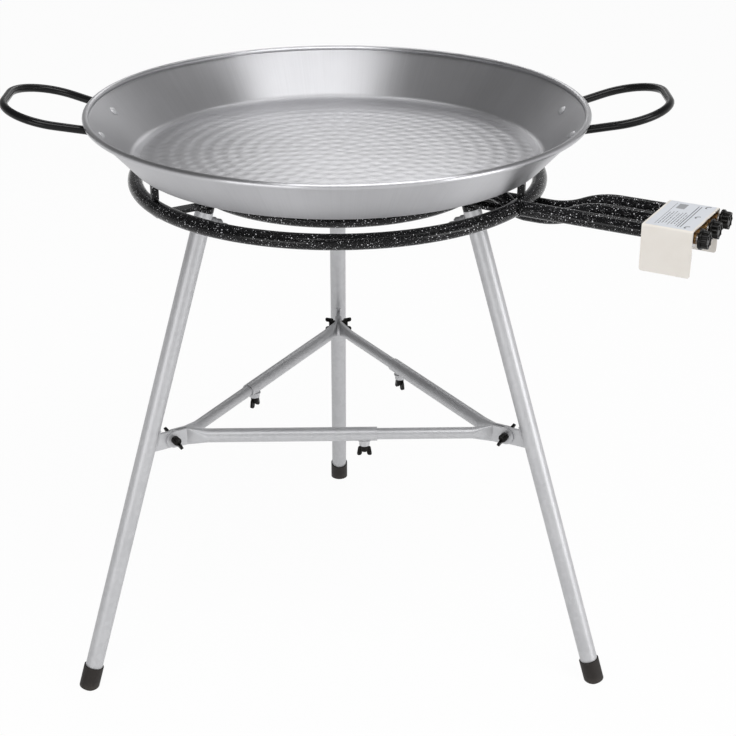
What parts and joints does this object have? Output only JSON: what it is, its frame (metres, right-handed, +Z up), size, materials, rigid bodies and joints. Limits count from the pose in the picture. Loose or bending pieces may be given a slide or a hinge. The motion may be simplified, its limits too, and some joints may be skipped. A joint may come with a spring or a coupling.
{
  "type": "gas paella burner",
  "caption": "Ring gas burner on a braced tripod of clamped tubes, with taps under a sheet cover and a flared two-handled steel pan resting on posts.",
  "frame": {"origin": "on the floor, under the middle of the part's outline seen from above", "axes": "+X along the gas feed tubes to the knobs, +Z up, +Y to the left of someone who looks along +X"},
  "size_m": [0.9691, 0.7688, 0.8277],
  "materials": {
    "enamel": "gloss black vitreous enamel with fine white speckles",
    "handle_enamel": "plain gloss black",
    "pan_steel": "satin, with a dimpled floor",
    "zinc": "satin bright zinc",
    "brass": "machined",
    "ivory_paint": "smooth ivory powder coat",
    "rubber": "matte",
    "black_plastic": "semi-gloss"
  },
  "bodies": {
    "burner": {"outer_ring": "enamel", "middle_ring": "enamel", "inner_ring": "enamel", "outer_feed_tube": "enamel", "middle_feed_tube": "enamel", "inner_feed_tube": "enamel", "arm_1": "enamel", "arm_2": "enamel", "arm_3": "enamel", "leg_stub_1": "enamel", "leg_stub_2": "enamel", "leg_stub_3": "enamel", "pan_posts": "enamel", "manifold_bracket": "enamel", "gas_manifold": "zinc", "valve_cover": "ivory_paint", "tap_body_1": "brass", "tap_body_2": "brass", "tap_body_3": "brass", "injector_1": "brass", "injector_2": "brass", "injector_3": "brass"},
    "pan": {"pan": "pan_steel", "pan_handle_right": "handle_enamel", "pan_handle_left": "handle_enamel", "handle_rivets": "zinc"},
    "plug_1": {"tap_plug_1": "brass"},
    "knob_1": {"tap_spindle_1": "zinc", "knob_1": "black_plastic"},
    "plug_2": {"tap_plug_2": "brass"},
    "knob_2": {"tap_spindle_2": "zinc", "knob_2": "black_plastic"},
    "plug_3": {"tap_plug_3": "brass"},
    "knob_3": {"tap_spindle_3": "zinc", "knob_3": "black_plastic"},
    "leg_1": {"leg_1": "zinc", "foot_1": "rubber", "strut_outer_1": "zinc", "strut_inner_1": "zinc"},
    "leg_2": {"leg_2": "zinc", "foot_2": "rubber", "strut_outer_2": "zinc", "strut_inner_2": "zinc"},
    "leg_3": {"leg_3": "zinc", "foot_3": "rubber", "strut_outer_3": "zinc", "strut_inner_3": "zinc"},
    "leg_screw_1": {"leg_screw_1": "zinc"},
    "strut_screw_1": {"strut_screw_1": "black_plastic"},
    "joint_bolt_1": {"joint_bolt_1": "black_plastic"},
    "joint_nut_1": {"joint_nut_1": "black_plastic"},
    "leg_screw_2": {"leg_screw_2": "zinc"},
    "strut_screw_2": {"strut_screw_2": "black_plastic"},
    "joint_bolt_2": {"joint_bolt_2": "black_plastic"},
    "joint_nut_2": {"joint_nut_2": "black_plastic"},
    "leg_screw_3": {"leg_screw_3": "zinc"},
    "strut_screw_3": {"strut_screw_3": "black_plastic"},
    "joint_bolt_3": {"joint_bolt_3": "black_plastic"},
    "joint_nut_3": {"joint_nut_3": "black_plastic"}
  },
  "joints": [
    {"name": "pan_lift", "type": "slide", "parent": "burner", "child": "pan", "axis": [0, 0, 1], "range_m": [0, 0.25]},
    {"name": "tap_turn_1", "type": "hinge", "parent": "burner", "child": "plug_1", "pos_m": [0.44455, -0.0175, 0.7125], "axis": [1, 0, 0], "range_deg": [0, 180]},
    {"name": "knob_push_1", "type": "slide", "parent": "plug_1", "child": "knob_1", "axis": [-1, 0, 0], "range_m": [0, 0.003], "stiffness_N_per_m": 1500},
    {"name": "tap_turn_2", "type": "hinge", "parent": "burner", "child": "plug_2", "pos_m": [0.44455, 0.025, 0.7125], "axis": [1, 0, 0], "range_deg": [0, 180]},
    {"name": "knob_push_2", "type": "slide", "parent": "plug_2", "child": "knob_2", "axis": [-1, 0, 0], "range_m": [0, 0.003], "stiffness_N_per_m": 1500},
    {"name": "tap_turn_3", "type": "hinge", "parent": "burner", "child": "plug_3", "pos_m": [0.44455, 0.0675, 0.7125], "axis": [1, 0, 0], "range_deg": [0, 180]},
    {"name": "knob_push_3", "type": "slide", "parent": "plug_3", "child": "knob_3", "axis": [-1, 0, 0], "range_m": [0, 0.003], "stiffness_N_per_m": 1500},
    {"name": "leg_slip_1", "type": "slide", "parent": "burner", "child": "leg_1", "axis": [0.3007, 0, -0.9537], "range_m": [0, 0.045]},
    {"name": "leg_slip_2", "type": "slide", "parent": "burner", "child": "leg_2", "axis": [-0.1504, 0.2604, -0.9537], "range_m": [0, 0.045]},
    {"name": "leg_slip_3", "type": "slide", "parent": "burner", "child": "leg_3", "axis": [-0.1504, -0.2604, -0.9537], "range_m": [0, 0.045]},
    {"name": "leg_screw_turn_1", "type": "hinge", "parent": "leg_1", "child": "leg_screw_1", "pos_m": [0.15112, 0, 0.6801], "axis": [0.9537, 0, 0.3007], "range_deg": [0, 720]},
    {"name": "strut_screw_turn_1", "type": "hinge", "parent": "leg_1", "child": "strut_screw_1", "pos_m": [-0.02804, 0.1285, 0.355], "axis": [0, 0, 1], "range_deg": [0, 720]},
    {"name": "joint_bolt_turn_1", "type": "hinge", "parent": "leg_1", "child": "joint_bolt_1", "pos_m": [0.21047, 0, 0.365], "axis": [0, 1, 0], "range_deg": [0, 360]},
    {"name": "joint_nut_turn_1", "type": "hinge", "parent": "joint_bolt_1", "child": "joint_nut_1", "pos_m": [0.21047, 0, 0.365], "axis": [0, 1, 0], "range_deg": [0, 720]},
    {"name": "leg_screw_turn_2", "type": "hinge", "parent": "leg_2", "child": "leg_screw_2", "pos_m": [-0.16923, 0.18495, 0.6801], "axis": [-0.4769, 0.8259, 0.3007], "range_deg": [0, 720]},
    {"name": "strut_screw_turn_2", "type": "hinge", "parent": "leg_2", "child": "strut_screw_2", "pos_m": [-0.19094, -0.03445, 0.355], "axis": [0, 0, 1], "range_deg": [0, 720]},
    {"name": "joint_bolt_turn_2", "type": "hinge", "parent": "leg_2", "child": "joint_bolt_2", "pos_m": [-0.19891, 0.23635, 0.365], "axis": [-0.866, -0.5, 0], "range_deg": [0, 360]},
    {"name": "joint_nut_turn_2", "type": "hinge", "parent": "joint_bolt_2", "child": "joint_nut_2", "pos_m": [-0.19891, 0.23635, 0.365], "axis": [-0.866, -0.5, 0], "range_deg": [0, 720]},
    {"name": "leg_screw_turn_3", "type": "hinge", "parent": "leg_3", "child": "leg_screw_3", "pos_m": [-0.16923, -0.18495, 0.6801], "axis": [-0.4769, -0.8259, 0.3007], "range_deg": [0, 720]},
    {"name": "strut_screw_turn_3", "type": "hinge", "parent": "leg_3", "child": "strut_screw_3", "pos_m": [0.03163, -0.09405, 0.355], "axis": [0, 0, 1], "range_deg": [0, 720]},
    {"name": "joint_bolt_turn_3", "type": "hinge", "parent": "leg_3", "child": "joint_bolt_3", "pos_m": [-0.19891, -0.23635, 0.365], "axis": [0.866, -0.5, 0], "range_deg": [0, 360]},
    {"name": "joint_nut_turn_3", "type": "hinge", "parent": "joint_bolt_3", "child": "joint_nut_3", "pos_m": [-0.19891, -0.23635, 0.365], "axis": [0.866, -0.5, 0], "range_deg": [0, 720]}
  ],
  "couplings": [
    {"joint": "leg_slip_2", "follows": "leg_slip_1", "ratio": 1},
    {"joint": "leg_slip_3", "follows": "leg_slip_1", "ratio": 1}
  ]
}
